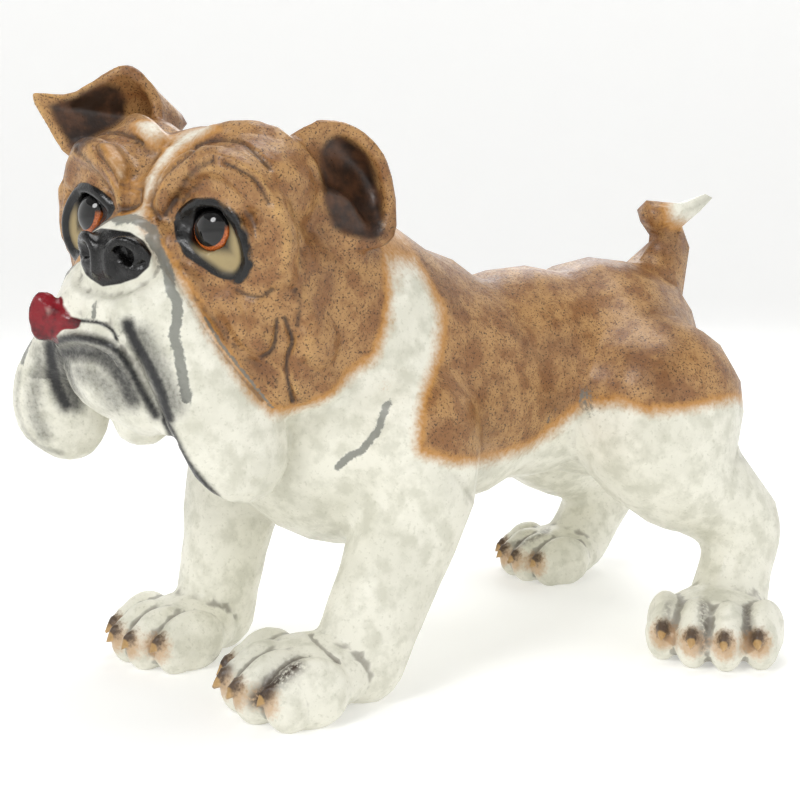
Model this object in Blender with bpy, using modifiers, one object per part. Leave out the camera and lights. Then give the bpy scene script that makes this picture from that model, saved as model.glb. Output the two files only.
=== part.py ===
"""Bulldog garden statue: one cast figure of painted resin with two glass eyes.

The dog stands on four paws and turns its head a little to its left. Its front is -Y, its left
side is +X, and its soles lie in the plane z = 0. The figure is made the way a sculptor would:
eggs and ropes of clay are fused into one skin, the skin is smoothed, folds are pressed into it,
and the finished skin is reduced to a light mesh. The glass eyes then get their seats.
"""

import math

import bmesh
import bpy
import numpy as np
from mathutils import Euler, Matrix, Vector
from mathutils.bvhtree import BVHTree

# Driving sizes, in metres.
EAR_HEIGHT = 0.372  # sole to the top of the raised right ear
EYE_RADIUS = 0.0121  # a glass eye, from its axis to its rim
EYE_DOME = 0.0062  # a glass eye, from its rim to the top of its dome
EYE_DEPTH = 0.0050  # how far a glass eye is sunk in its seat
EYE_GAP = 0.0004  # glue line between a glass eye and its seat
EAR_THICKNESS = 0.0065  # wall of an ear's leaf

# The sculptor's grid: one step is a millimetre at the height above.
STEP = EAR_HEIGHT / 372
MIDDLE = (24.9, -24.8)  # the middle of the figure's box, seen from above, which becomes the origin

# The head turns left and leans to the left. Its frame has x to the dog's left, y forwards
# and z up, with the origin midway between the pupils. All in grid steps.
HEAD_AT = (10, -217, 277.5)
HEAD_TURN = math.radians(21)
HEAD_LEAN = math.radians(4.6)
PUPIL = (50.5, 0.6, 0)  # the left pupil in the head's frame

EYE_OUT = 10  # degrees each eye looks away from straight ahead
EYE_UP = 6  # degrees each eye looks up

VOXEL = 2.6  # grain of the fused clay
BODY_SMOOTHING = 30  # rounds that melt the body's clay together
HEAD_SMOOTHING = 4
SKIN_TRIANGLES = 8700


def head_frame():
    """Head coordinates to the dog's, both in grid steps."""
    ahead = Vector((math.sin(HEAD_TURN), -math.cos(HEAD_TURN), 0))
    level = Vector((math.cos(HEAD_TURN), math.sin(HEAD_TURN), 0))
    left = level * math.cos(HEAD_LEAN) - Vector((0, 0, math.sin(HEAD_LEAN)))
    crown = Vector((0, 0, math.cos(HEAD_LEAN))) + level * math.sin(HEAD_LEAN)
    axes = Matrix((left, ahead, crown)).transposed().to_4x4()
    return Matrix.Translation(HEAD_AT) @ axes


HEAD = head_frame()
BODY = Matrix()


def ball(clay, centre, radii, turn=(0, 0, 0), frame=BODY):
    """An egg of clay. turn is in degrees about x, y and z."""
    if isinstance(radii, (int, float)):
        radii = (radii,) * 3
    spin = Euler([math.radians(a) for a in turn]).to_matrix().to_4x4()
    clay.append(frame @ Matrix.Translation(centre) @ spin @ Matrix.Diagonal((*radii, 1)))


def through(stations, steps=6):
    """Stations joined by a smooth curve that passes through each of them."""
    p = np.array(stations, float)
    ends = np.vstack([2 * p[0] - p[1], p, 2 * p[-1] - p[-2]])
    t = np.linspace(0, 1, steps, endpoint=False)[:, None]
    spans = [
        b + (c - a) * t / 2 + (2 * a - 5 * b + 4 * c - d) * t**2 / 2 + (3 * b - a - 3 * c + d) * t**3 / 2
        for a, b, c, d in zip(ends, ends[1:], ends[2:], ends[3:])
    ]
    return np.vstack([*spans, p[-1:]])


def rope(clay, stations, frame=BODY, steps=6):
    """A rope of clay through stations (x, y, z, radius)."""
    for x, y, z, r in through(stations, steps):
        ball(clay, (x, y, z), r, frame=frame)


def strap(clay, stations, frame=BODY, side=1, steps=5):
    """A flat strap of clay through stations (x, y, z, thin radius, wide radius, yaw in degrees)."""
    for x, y, z, thin, wide, yaw in through(stations, steps):
        ball(clay, (side * x, y, z), (thin, wide, min(thin, wide) * 1.2), (0, 0, side * yaw), frame)


def mirror(stations):
    return [(-s[0], *s[1:]) for s in stations]


def torso(clay):
    ball(clay, (0, -84, 162), (84, 88, 90))  # chest
    ball(clay, (0, -24, 168), (78, 90, 78))  # ribs
    ball(clay, (0, 48, 174), (68, 84, 73))  # loin
    ball(clay, (0, 116, 173), (79, 74, 79))  # rump
    ball(clay, (0, 134, 192), (60, 60, 54))  # croup
    ball(clay, (0, -34, 184), (58, 62, 76))  # withers
    ball(clay, (0, 156, 220), (28, 26, 28))  # root of the tail
    rope(clay, [(0, -64, 190, 76), (3, -112, 218, 76), (6, -158, 240, 70)])  # neck


def fore_legs(clay):
    left = [(62, -76, 150, 45), (66, -74, 112, 36), (70, -92, 72, 31), (76, -112, 38, 29), (78, -118, 22, 27)]
    right = [
        (-58, -112, 150, 45), (-60, -132, 110, 35), (-58, -142, 72, 29), (-56, -150, 38, 27),
        (-55, -152, 22, 26),
    ]
    rope(clay, left)
    rope(clay, right)


def hind_legs(clay):
    rope(clay, [(66, 112, 154, 61), (78, 106, 134, 49), (88, 118, 110, 38)])
    rope(clay, [(92, 138, 99, 34), (104, 161, 76, 26), (108, 152, 48, 24), (112, 142, 26, 26)])
    rope(clay, [(-60, 118, 150, 58), (-78, 135, 118, 48), (-84, 160, 96, 38)])
    rope(clay, [(-84, 180, 90, 33), (-88, 206, 68, 26), (-84, 186, 44, 25), (-80, 168, 24, 25)])


def paw(clay, heel, yaw, size, spread=19.5):
    """Four toes in front of a pad. heel is the ankle's foot on the ground."""
    place = Matrix.Translation(heel) @ Matrix.Rotation(math.radians(yaw), 4, "Z") @ Matrix.Scale(size, 4)
    ball(clay, (0, -26, 19), (35, 34, 21), frame=place)
    for slot in (-1.5, -0.5, 0.5, 1.5):
        across = slot * spread
        reach = -40.4 if abs(slot) > 1 else -50  # the outer toes are shorter
        splay = -7 * slot
        ball(clay, (across, reach, 18), (11.8, 22, 20), (0, 0, splay), place)
        ball(clay, (across, reach - 12, 15), (10.8, 14, 16.5), (0, 0, splay), place)
        ball(clay, (across - 0.8 * slot, reach - 26, 21), (3.4, 5, 4.2), (-30, 0, splay), place)  # claw


def paws(clay):
    paw(clay, (76, -122, 0), -2, 1.04)
    paw(clay, (-54, -150, 0), 10, 0.97)
    paw(clay, (105, 143, 0), 40, 1.04)
    paw(clay, (-78, 176, 0), -6, 0.95)


def skull(clay):
    ball(clay, (0, -62, 0), (82, 66, 56), frame=HEAD)
    ball(clay, (0, -30, -34), (52, 42, 54), frame=HEAD)
    ball(clay, (0, -36, 12), (34, 36, 30), frame=HEAD)
    for side in (1, -1):
        ball(clay, (side * 48, -34, 22), (40, 36, 31), frame=HEAD)  # brow
        ball(clay, (side * 58, -50, -40), (38, 48, 50), frame=HEAD)  # cheek
        ball(clay, (side * 46, -27, -5), (33, 30, 31), frame=HEAD)  # eyeball
        ball(clay, (side * 56, -29, -7), (30, 28, 30), frame=HEAD)
        ball(clay, (side * 60, -20, -54), (24, 22, 28), frame=HEAD)  # under the eye
        ball(clay, (side * 72, -46, -78), (22, 34, 28), frame=HEAD)  # jowl behind the flew


FLEW = [
    (24, 10, -34, 14, 16, 56),
    (34, 12, -48, 17, 22, 50),
    (44, 9, -66, 18, 28, 44),
    (53, 1, -86, 18, 30, 34),
    (60, -9, -107, 17, 33, 27),
    (65, -15, -127, 17, 30, 24),
    (68, -16, -138, 13, 22, 24),
]
# The right flew flares outwards at its front.
RIGHT_FLEW = [
    (24, 10, -34, 14, 16, 56),
    (34, 12, -48, 17, 22, 48),
    (46, 10, -66, 17, 25, 20),
    (58, 7, -86, 15, 28, -15),
    (66, 5, -107, 15, 30, -35),
    (67, 3, -127, 15, 28, -38),
    (65, 0, -138, 12, 19, -38),
]
LOWER_LIP = [
    (35, 11, -112, 6), (28, 18, -98, 6), (24, 26, -84, 6), (22, 32, -74, 6), (18, 36, -67, 6),
    (4, 39, -63, 6), (-14, 39, -64, 6), (-30, 33, -70, 6), (-38, 24, -80, 6), (-42, 14, -94, 6),
]
# The raised rim round a nostril.
NOSTRIL = [
    (6, 31, -27), (6, 32, -16), (14, 31, -10), (22, 27, -12), (26, 22, -20), (24, 22, -29),
    (15, 26, -33),
]


def muzzle(clay):
    ball(clay, (0, 8, -16), (34, 20, 20), frame=HEAD)
    ball(clay, (0, 14, -48), (30, 25, 18), frame=HEAD)  # upper lip under the nose
    ball(clay, (0, 18, -20), (27, 16, 15), frame=HEAD)  # nose leather
    ball(clay, (0, 19, -24), (23, 15, 13), frame=HEAD)
    for side in (1, -1):
        rope(clay, [(side * x, y, z, 3.6) for x, y, z in NOSTRIL], HEAD)
        ball(clay, (side * 22, 12, -47), (22, 27, 18), frame=HEAD)  # cushion of the lip
        ball(clay, (side * 34, 4, -40), (22, 20, 22), frame=HEAD)  # side of the muzzle
        ball(clay, (side * 50, -6, -72), (18, 24, 26), frame=HEAD)
    strap(clay, FLEW, HEAD)
    strap(clay, RIGHT_FLEW, HEAD, -1)
    ball(clay, (-6, 6, -84), (42, 32, 32), frame=HEAD)  # chin
    ball(clay, (12, 3, -92), (30, 27, 30), frame=HEAD)
    rope(clay, LOWER_LIP, HEAD)
    ball(clay, (-4, -4, -118), (17, 17, 14), frame=HEAD)  # dewlap
    ball(clay, (24, 38, -57), (4, 6, 7.5), frame=HEAD)  # tooth
    for x, y, z, thin, tall in through(TONGUE, 5):
        ball(clay, (x, y, z), (thin, 6, tall), (0, 0, 30), HEAD)


# The tongue curls out at the right, as stations (x, y, z, thin radius, tall radius).
TONGUE = [
    (-10, 36, -58, 4, 3), (-17, 38, -58, 4, 4), (-23, 41, -58, 4, 7), (-28, 43, -57, 4, 11),
    (-32, 45, -56, 4, 14), (-36, 47, -56, 4, 14),
]
EYE_RIM = [
    (25, -3, 2), (36, 0, 10), (48, -1, 14), (59, -3, 13), (68, -4, 6), (74, -5, -5), (75, -7, -16),
    (69, -8, -25), (60, -6, -26), (51, -1, -21), (42, 3, -15), (33, 2, -7), (25, -3, 2),
]
BROW_ROLLS = [
    [(14, 2, 4, 6), (19, 2, 20, 8), (36, 0, 33, 9), (58, -4, 35, 9), (78, -13, 20, 9),
     (87, -19, -2, 9), (85, -21, -22, 9)],
    [(12, -22, 36, 8), (30, -24, 48, 9), (54, -36, 50, 9), (74, -46, 36, 8), (80, -52, 22, 5)],
]
LOWER_ROLL = [
    (29, -2, -12, 5), (38, 0, -23, 5), (50, -2, -31, 6), (62, -7, -35, 6), (74, -14, -32, 6),
    (81, -15, -18, 6), (80, -13, -2, 5),
]
BAG = [(34, 2, -30, 5), (48, 2, -40, 7), (64, -8, -44, 8), (80, -20, -38, 7)]
CHEEK_LUMPS = [((74, -30, -48), 16), ((84, -46, -60), 19), ((82, -58, -84), 18), ((70, -26, -68), 16)]


def folds_of_clay(clay):
    for flip in (1, -1):
        rope(clay, [(flip * x, y + 1, z, 4) for x, y, z in EYE_RIM], HEAD, 8)
        for roll in (*BROW_ROLLS, LOWER_ROLL, BAG):
            rope(clay, [(flip * x, y, z, r) for x, y, z, r in roll], HEAD)
        for (x, y, z), r in CHEEK_LUMPS:
            ball(clay, (flip * x, y, z), r, frame=HEAD)


RIGHT_EAR = [
    (-113, -8, 66), (-100, -24, 66), (-88, -42, 80), (-79, -50, 86), (-71, -56, 80),
    (-66, -64, 66), (-62, -58, 46), (-70, -34, 32), (-90, -20, 32), (-103, -14, 48),
]
LEFT_EAR = [
    (62, -54, 52), (72, -66, 60), (84, -75, 57), (97, -82, 46), (104, -87, 26),
    (108, -87, 2), (102, -80, -6), (92, -68, -5), (84, -58, 2), (75, -48, 24),
]
EAR_PITS = ((-72, -96, 54), (80, -106, 26))


def cup(outline, pit, depth=0.6):
    """An ear's leaf: an open sheet that runs in from its outline to its pit."""
    rim = [Vector(p) for p in outline]
    bottom = Vector(pit)
    n = len(rim)
    cage = bmesh.new()
    edge = [cage.verts.new(p) for p in rim]
    wall = [cage.verts.new(p.lerp(bottom, depth) + (bottom - p) * 0.12) for p in rim]
    middle = cage.verts.new(bottom)
    for k in range(n):
        m = (k + 1) % n
        cage.faces.new((edge[k], edge[m], wall[m], wall[k]))
        cage.faces.new((wall[k], wall[m], middle))
    mesh = bpy.data.meshes.new("ear")
    cage.to_mesh(mesh)
    cage.free()
    obj = bpy.data.objects.new("ear", mesh)
    bpy.context.scene.collection.objects.link(obj)
    obj.matrix_world = HEAD
    soft = obj.modifiers.new("soft", "SUBSURF")
    soft.levels = soft.render_levels = 3
    thick = obj.modifiers.new("thick", "SOLIDIFY")
    thick.thickness = EAR_THICKNESS / STEP
    thick.offset = 0
    return obj


def ears(clay):
    for outline in (RIGHT_EAR, LEFT_EAR):
        rope(clay, [(*p, 3.9) for p in (*outline, outline[0])], HEAD)
    ball(clay, (-56, -56, 38), 19, frame=HEAD)
    ball(clay, (54, -56, 32), (17, 17, 20), frame=HEAD)
    rope(clay, [(78, -52, 20, 3.5), (84, -66, 20, 4), (91, -74, 10, 4), (96, -78, -2, 3.5)], HEAD)
    ball(clay, (-34, -78, 40), (24, 20, 14), frame=HEAD)
    return [cup(RIGHT_EAR, EAR_PITS[0]), cup(LEFT_EAR, EAR_PITS[1])]


def tail(clay):
    rope(
        clay,
        [(0, 166, 228, 24), (0, 174, 240, 19), (0, 184, 258, 14), (-5, 182, 272, 11), (-4, 170, 282, 10.5),
         (4, 168, 278, 9), (9, 178, 279, 8.5), (14, 192, 286, 6.5), (18, 203, 292, 4.5)],
    )


def fuse(clay, extra, voxel, smooth):
    """One closed skin round all the clay."""
    lump = bmesh.new()
    bmesh.ops.create_icosphere(lump, subdivisions=3, radius=1)
    points = np.array([v.co for v in lump.verts])
    faces = np.array([[v.index for v in f.verts] for f in lump.faces])
    lump.free()
    places = np.array(clay)
    placed = points @ places[:, :3, :3].transpose(0, 2, 1) + places[:, None, :3, 3]
    joined = faces + len(points) * np.arange(len(clay))[:, None, None]
    all_points, all_faces = [placed.reshape(-1, 3)], joined.reshape(-1, 3).tolist()
    count = len(all_points[0])
    for obj in extra:
        bpy.context.view_layer.update()
        shell = bpy.data.meshes.new_from_object(obj.evaluated_get(bpy.context.evaluated_depsgraph_get()))
        shell.transform(obj.matrix_world)
        all_points.append(np.array([v.co for v in shell.vertices]))
        all_faces += [[count + v for v in p.vertices] for p in shell.polygons]
        count += len(shell.vertices)
        bpy.data.objects.remove(obj)
    mesh = bpy.data.meshes.new("clay")
    mesh.from_pydata(np.vstack(all_points), [], all_faces)
    obj = bpy.data.objects.new("clay", mesh)
    bpy.context.scene.collection.objects.link(obj)
    remesh = obj.modifiers.new("skin", "REMESH")
    remesh.mode = "VOXEL"
    remesh.voxel_size = voxel
    soft = obj.modifiers.new("soft", "SMOOTH")
    soft.iterations = smooth
    soft.factor = 0.5
    bpy.context.view_layer.update()
    skin = bpy.data.meshes.new_from_object(obj.evaluated_get(bpy.context.evaluated_depsgraph_get()))
    bpy.data.objects.remove(obj)
    return skin


# Strokes pressed into the skin: a path that is drawn in to the nearest skin, a width and a depth.
FOLDS = [
    ([(0, 42, -36), (0, 46, -45), (0, 46, -54)], 2.4, 2.5),  # groove under the nose
    ([(-28, 12, -6), (-31, 16, -22), (-22, 32, -34), (0, 36, -37),
      (22, 32, -34), (31, 16, -22), (28, 12, -6)], 2.6, 3.5),  # round the nose
    ([(-34, 42, -64), (-14, 46, -58), (4, 46, -57), (18, 43, -60), (25, 37, -67), (28, 31, -76),
      (31, 25, -88), (36, 18, -102)], 2.6, 4.5),  # mouth
]
BOTH_SIDES = [
    ([(13, 40, -23), (15, 40, -18), (18, 38, -16)], 4, 5),  # nostril
    ([(15, 16, 0), (30, 14, -20), (52, 8, -40), (68, -8, -62), (82, -28, -84), (90, -40, -104)],
     3.2, 3),  # behind the flew
    ([(9, 10, 6), (12, 0, 26), (9, -22, 46)], 3.5, 3),  # forehead
]


def distance(points, path):
    """Distance of each point from a path."""
    stations = np.array(path, float)
    best = np.full(len(points), np.inf)
    for a, b in zip(stations, stations[1:]):
        along = b - a
        share = np.clip(((points - a) @ along) / max(along @ along, 1e-9), 0, 1)
        best = np.minimum(best, np.linalg.norm(points - a - share[:, None] * along, axis=1))
    return best


def press(skin, strokes, frame):
    """Press folds into the skin along paths given in frame."""
    points = np.array([v.co for v in skin.vertices])
    normals = np.array([v.normal for v in skin.vertices])
    lump = bmesh.new()
    lump.from_mesh(skin)
    tree = BVHTree.FromBMesh(lump)
    lump.free()
    sink = np.zeros(len(points))
    for path, width, depth in strokes:
        curve = through(path, 4)
        drawn = [tree.find_nearest(frame @ Vector(p))[0] for p in curve]
        sink = np.maximum(sink, depth * np.exp(-((distance(points, drawn) / width) ** 2)))
    points -= normals * sink[:, None]
    skin.vertices.foreach_set("co", points.ravel())
    skin.update()


def both(strokes):
    return strokes + [(mirror(path), width, depth) for path, width, depth in strokes]


def light(skin, triangles):
    """The skin with fewer, larger triangles, kept finest on the face."""
    obj = bpy.data.objects.new("skin", skin)
    bpy.context.scene.collection.objects.link(obj)
    coarse = obj.vertex_groups.new(name="coarse")
    face_of = HEAD.inverted()
    for v in skin.vertices:
        x, y, z = face_of @ v.co
        on_face = y > -50 and z > -160
        near_eye = on_face and abs(abs(x) - 51) < 32 and abs(z + 3) < 28
        coarse.add([v.index], 0.05 if near_eye else 0.15 if on_face else 1, "REPLACE")
    fewer = obj.modifiers.new("fewer", "DECIMATE")
    fewer.vertex_group = coarse.name
    skin.calc_loop_triangles()
    fewer.ratio = triangles / len(skin.loop_triangles)
    bpy.context.view_layer.update()
    result = bpy.data.meshes.new_from_object(obj.evaluated_get(bpy.context.evaluated_depsgraph_get()))
    bpy.data.objects.remove(obj)
    return result


def stand(skin):
    """Cut the paws off flat at the ground."""
    shape = bmesh.new()
    shape.from_mesh(skin)
    everything = [*shape.verts, *shape.edges, *shape.faces]
    bmesh.ops.bisect_plane(shape, geom=everything, dist=1e-4, plane_no=(0, 0, 1), clear_inner=True)
    rims = [e for e in shape.edges if e.is_boundary]
    bmesh.ops.holes_fill(shape, edges=rims, sides=0)
    bmesh.ops.triangulate(shape, faces=[f for f in shape.faces if len(f.verts) > 4])
    bmesh.ops.recalc_face_normals(shape, faces=shape.faces)
    shape.to_mesh(skin)
    shape.free()


def settled():
    """The sculptor's grid to metres, with the origin under the middle of the figure."""
    return Matrix.Scale(STEP, 4) @ Matrix.Translation((-MIDDLE[0], -MIDDLE[1], 0))


def eye_frame(side):
    """A glass eye's place, in metres: its z axis runs out through the pupil."""
    look = Euler((math.radians(-90 + EYE_UP), 0, -side * math.radians(EYE_OUT))).to_matrix().to_4x4()
    place = HEAD @ Matrix.Translation((side * PUPIL[0], *PUPIL[1:])) @ look
    return Matrix.Translation(settled() @ place.translation) @ place.to_3x3().normalized().to_4x4()


def turned(name, profile, place, collection, steps=20):
    """A closed turned piece from (radius, height) pairs, listed from the top down."""
    mesh = bpy.data.meshes.new(name)
    lines = [(k, k + 1) for k in range(len(profile) - 1)]
    mesh.from_pydata([(r, 0, z) for r, z in profile], lines, [])
    obj = bpy.data.objects.new(name, mesh)
    collection.objects.link(obj)
    obj.matrix_world = place
    screw = obj.modifiers.new("turn", "SCREW")
    screw.steps = screw.render_steps = steps
    screw.use_merge_vertices = True
    screw.merge_threshold = 1e-5
    return obj


def glass_eye(name, side, collection):
    curve = (EYE_RADIUS**2 + EYE_DOME**2) / (2 * EYE_DOME)
    rim = math.asin(EYE_RADIUS / curve)
    arc = [rim * k / 5 for k in range(6)]
    dome = [(curve * math.sin(a), EYE_DOME - curve * (1 - math.cos(a))) for a in arc]
    profile = [*dome, (EYE_RADIUS, -EYE_DEPTH), (0, -EYE_DEPTH)]
    return turned(name, profile, eye_frame(side), collection)


def eye_seat(name, side, collection):
    radius = EYE_RADIUS + EYE_GAP
    floor = -EYE_DEPTH - EYE_GAP
    profile = [(0, EYE_DOME), (radius, EYE_DOME), (radius, floor), (0, floor)]
    seat = turned(name, profile, eye_frame(side), collection)
    seat.hide_render = True
    seat.display_type = "WIRE"
    return seat


def paint(obj, name, colour, roughness):
    material = bpy.data.materials.new(name)
    material.use_nodes = True
    shader = material.node_tree.nodes["Principled BSDF"]
    shader.inputs["Base Color"].default_value = (*colour, 1)
    shader.inputs["Roughness"].default_value = roughness
    shader.inputs["Metallic"].default_value = 0
    obj.data.materials.clear()
    obj.data.materials.append(material)
    obj.data.shade_smooth()


def body_skin():
    clay = []
    torso(clay)
    fore_legs(clay)
    hind_legs(clay)
    return fuse(clay, [], VOXEL, BODY_SMOOTHING)


def dog_skin():
    clay = []
    paws(clay)
    skull(clay)
    muzzle(clay)
    folds_of_clay(clay)
    tail(clay)
    leaves = ears(clay)
    body = bpy.data.objects.new("body", body_skin())
    bpy.context.scene.collection.objects.link(body)
    return fuse(clay, [body, *leaves], VOXEL, HEAD_SMOOTHING)


def new_collection(name):
    collection = bpy.data.collections.new(name)
    bpy.context.scene.collection.children.link(collection)
    return collection


def build():
    for obj in list(bpy.data.objects):
        bpy.data.objects.remove(obj)
    pieces = new_collection("bulldog_statue")
    cutters = new_collection("cutters")
    skin = dog_skin()
    press(skin, FOLDS + both(BOTH_SIDES), HEAD)
    skin = light(skin, SKIN_TRIANGLES)
    stand(skin)
    skin.transform(settled())
    statue = bpy.data.objects.new("statue", skin)
    pieces.objects.link(statue)
    paint(statue, "painted_resin", (0.74, 0.70, 0.60), 0.45)
    for name, side in (("left", 1), ("right", -1)):
        eye = glass_eye(name + "_eye", side, pieces)
        paint(eye, name + "_eye_glass", (0.02, 0.012, 0.008), 0.05)
        cut = statue.modifiers.new(name + "_seat", "BOOLEAN")
        cut.operation = "DIFFERENCE"
        cut.solver = "EXACT"
        cut.object = eye_seat(name + "_seat", side, cutters)


build()
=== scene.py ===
"""Bulldog garden statue: its painted skin, its glass eyes and the studio round it.

The solid gets its finer clay here: toes, claws, lids, nostrils and tongue. All is fused into one
skin, which is smoothed, and rolls and creases are pressed into it. Marks and outlines are given in
the pixels of the photograph, 800 by 800. Each point of the skin looks itself up there through the
photograph's camera, and most of the far side takes the marks of its twin on the near side.
"""

import math

import bmesh
import bpy
import numpy as np
from mathutils import Euler, Matrix, Vector, noise
from mathutils.bvhtree import BVHTree


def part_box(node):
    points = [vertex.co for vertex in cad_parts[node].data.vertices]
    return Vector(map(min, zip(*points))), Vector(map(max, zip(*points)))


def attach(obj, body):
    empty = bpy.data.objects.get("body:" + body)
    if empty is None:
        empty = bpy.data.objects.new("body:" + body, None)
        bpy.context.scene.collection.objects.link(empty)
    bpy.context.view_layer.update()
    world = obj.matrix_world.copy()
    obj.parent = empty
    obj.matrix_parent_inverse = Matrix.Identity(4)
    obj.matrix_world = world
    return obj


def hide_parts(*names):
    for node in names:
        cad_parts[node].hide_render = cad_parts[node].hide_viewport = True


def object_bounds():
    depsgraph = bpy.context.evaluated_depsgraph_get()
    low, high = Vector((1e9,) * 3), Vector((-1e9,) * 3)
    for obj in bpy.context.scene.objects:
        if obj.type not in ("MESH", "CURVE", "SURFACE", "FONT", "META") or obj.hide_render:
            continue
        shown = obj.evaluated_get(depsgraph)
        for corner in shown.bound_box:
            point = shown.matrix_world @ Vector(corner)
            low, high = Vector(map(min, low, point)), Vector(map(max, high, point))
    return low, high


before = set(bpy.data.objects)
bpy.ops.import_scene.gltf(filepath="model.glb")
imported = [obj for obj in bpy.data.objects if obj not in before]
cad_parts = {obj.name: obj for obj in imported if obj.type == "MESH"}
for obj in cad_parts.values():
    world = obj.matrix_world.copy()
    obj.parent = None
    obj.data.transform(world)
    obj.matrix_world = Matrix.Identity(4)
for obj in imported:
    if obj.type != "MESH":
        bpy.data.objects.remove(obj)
cad_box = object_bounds()

# The photograph's camera, in the frame of the CAD, in metres.
IMAGE = 800
FOCUS = 1350  # focal length in pixels
SENSOR = 36
CAMERA_AT = np.array((0.71837, -0.46767, 0.28334))
CAMERA_HEADING = math.radians(58.9)
CAMERA_DIP = math.radians(8.01)

MM = 0.001
SPINE_X = -0.0249  # the plane in which the body's two sides mirror each other

# The glass eyes, as in the solids.
EYE_RADIUS = 0.0121
EYE_DOME = 0.0062
EYE_DEPTH = 0.0050
EYE_OUT = 10  # degrees that each eye looks outwards
EYE_UP = 6  # degrees that it looks up
PUPIL = (50.5, 0.6, 0)  # the left one, in head millimetres

VOXEL = 1.35 * MM
SMOOTHING = 60  # rounds that melt the clay together on the trunk
GRAIN = 0.22 * MM  # height of the hand-worked dents
SKIN_TRIANGLES = 190000


def head_frame():
    """Head millimetres to the CAD's metres: x to the dog's left, y forwards, z up."""
    left_eye, right_eye = (sum(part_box(side + "_eye"), Vector()) / 2 for side in ("left", "right"))
    left = (left_eye - right_eye).normalized()
    ahead = left.cross(Vector((0, 0, 1))).normalized()
    axes = Matrix((left, ahead, ahead.cross(left))).transposed().to_4x4()
    middle = (left_eye + right_eye) / 2 - ahead * (PUPIL[1] + 0.6) * MM
    return Matrix.Translation(middle) @ axes @ Matrix.Scale(MM, 4)


HEAD = head_frame()
BODY = Matrix.Translation((SPINE_X, 0.0248, 0)) @ Matrix.Scale(MM, 4)


def camera_axes():
    level = np.array((-math.sin(CAMERA_HEADING), math.cos(CAMERA_HEADING), 0))
    right = np.array((math.cos(CAMERA_HEADING), math.sin(CAMERA_HEADING), 0))
    up = np.array((0, 0, 1))
    ahead = level * math.cos(CAMERA_DIP) - up * math.sin(CAMERA_DIP)
    return right, level * math.sin(CAMERA_DIP) + up * math.cos(CAMERA_DIP), ahead


RIGHT, UP, AHEAD = camera_axes()


def seen(points):
    """The photograph's pixels in which points lie."""
    sight = points - CAMERA_AT
    depth = sight @ AHEAD
    across = IMAGE / 2 + FOCUS * (sight @ RIGHT) / depth
    return np.stack([across, IMAGE / 2 - FOCUS * (sight @ UP) / depth], 1)


def sight_line(pixel):
    across, down = (pixel[0] - IMAGE / 2) / FOCUS, (IMAGE / 2 - pixel[1]) / FOCUS
    return Vector(AHEAD + RIGHT * across + UP * down).normalized()


def moved(points, matrix):
    m = np.array(matrix)
    return points @ m[:3, :3].T + m[:3, 3]


def ball(clay, centre, radii, turn=(0, 0, 0), place=HEAD):
    """An egg of clay. turn is in degrees about x, y and z."""
    if isinstance(radii, (int, float)):
        radii = (radii,) * 3
    spin = Euler([math.radians(a) for a in turn]).to_matrix().to_4x4()
    clay.append(place @ Matrix.Translation(centre) @ spin @ Matrix.Diagonal((*radii, 1)))


def through(stations, steps=6):
    """Stations joined by a smooth curve that passes through each of them."""
    p = np.array(stations, float)
    ends = np.vstack([2 * p[0] - p[1], p, 2 * p[-1] - p[-2]])
    t = np.linspace(0, 1, steps, endpoint=False)[:, None]
    spans = [
        b + (c - a) * t / 2 + (2 * a - 5 * b + 4 * c - d) * t**2 / 2
        + (3 * b - a - 3 * c + d) * t**3 / 2
        for a, b, c, d in zip(ends, ends[1:], ends[2:], ends[3:])
    ]
    return np.vstack([*spans, p[-1:]])


def rope(clay, stations):
    for x, y, z, r in through(stations, 8):
        ball(clay, (x, y, z), r)


# Each paw: the ankle's foot on the ground, its turn in degrees and its size.
PAWS = [
    ((76, -122, 0), -2, 1.04), ((-54, -150, 0), 10, 0.97),
    ((105, 143, 0), 40, 1.04), ((-78, 176, 0), -6, 0.95),
]
TOE_SPREAD = 19.5
CLAW_SPREAD = 0.96  # the claws stand a little closer than the toes


def paw_frames():
    for heel, yaw, size in PAWS:
        turn = Matrix.Rotation(math.radians(yaw), 4, "Z")
        yield BODY @ Matrix.Translation(heel) @ turn @ Matrix.Scale(size, 4)


def toes():
    """Each toe: its paw's frame, its middle across and along, and its splay in degrees."""
    for place in paw_frames():
        for slot in (-1.5, -0.5, 0.5, 1.5):
            reach = -40.4 if abs(slot) > 1 else -50
            yield place, slot * TOE_SPREAD, reach, -7 * slot


def claw_tips():
    return [
        place @ Vector((CLAW_SPREAD * across, reach - 29, 19)) for place, across, reach, _ in toes()
    ]


def toe_clay(clay):
    for place, across, reach, splay in toes():
        ball(clay, (across, reach, 18), (11.8, 22, 20), (0, 0, splay), place)
        ball(clay, (across, reach - 12, 15), (10.8, 14, 16.5), (0, 0, splay), place)
        for k in range(5):  # the claw tapers down and forwards
            at = (CLAW_SPREAD * across, reach - 23.5 - 1.6 * k, 23.5 - 1.7 * k)
            ball(clay, at, 3.4 - 0.45 * k, (0, 0, splay), place)


# The face's clay, in head millimetres: x to the dog's left, y forwards, z up. The rim and the
# nostril are those of the left side.
EYE_RIM = [
    (25, -2, 2), (36, 1, 10), (48, 0, 14), (59, -2, 13), (68, -3, 6), (74, -4, -5), (75, -6, -16),
    (69, -7, -25), (60, -5, -26), (51, 0, -21), (42, 4, -15), (33, 3, -7), (25, -2, 2),
]
RIM_RISE = 2.6  # how far the black rim stands out of the lids
RIM_THICKNESS = 3.1
NOSTRIL_RISE = 1.6
NOSTRIL_THICKNESS = 3.6
NOSE = [((0, 18, -20), (27, 16, 15)), ((0, 19, -24), (23, 15, 13))]
NOSTRIL = [
    (6, 31, -27), (6, 32, -16), (14, 31, -10), (22, 27, -12), (26, 22, -20), (24, 22, -29),
    (15, 26, -33),
]
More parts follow.
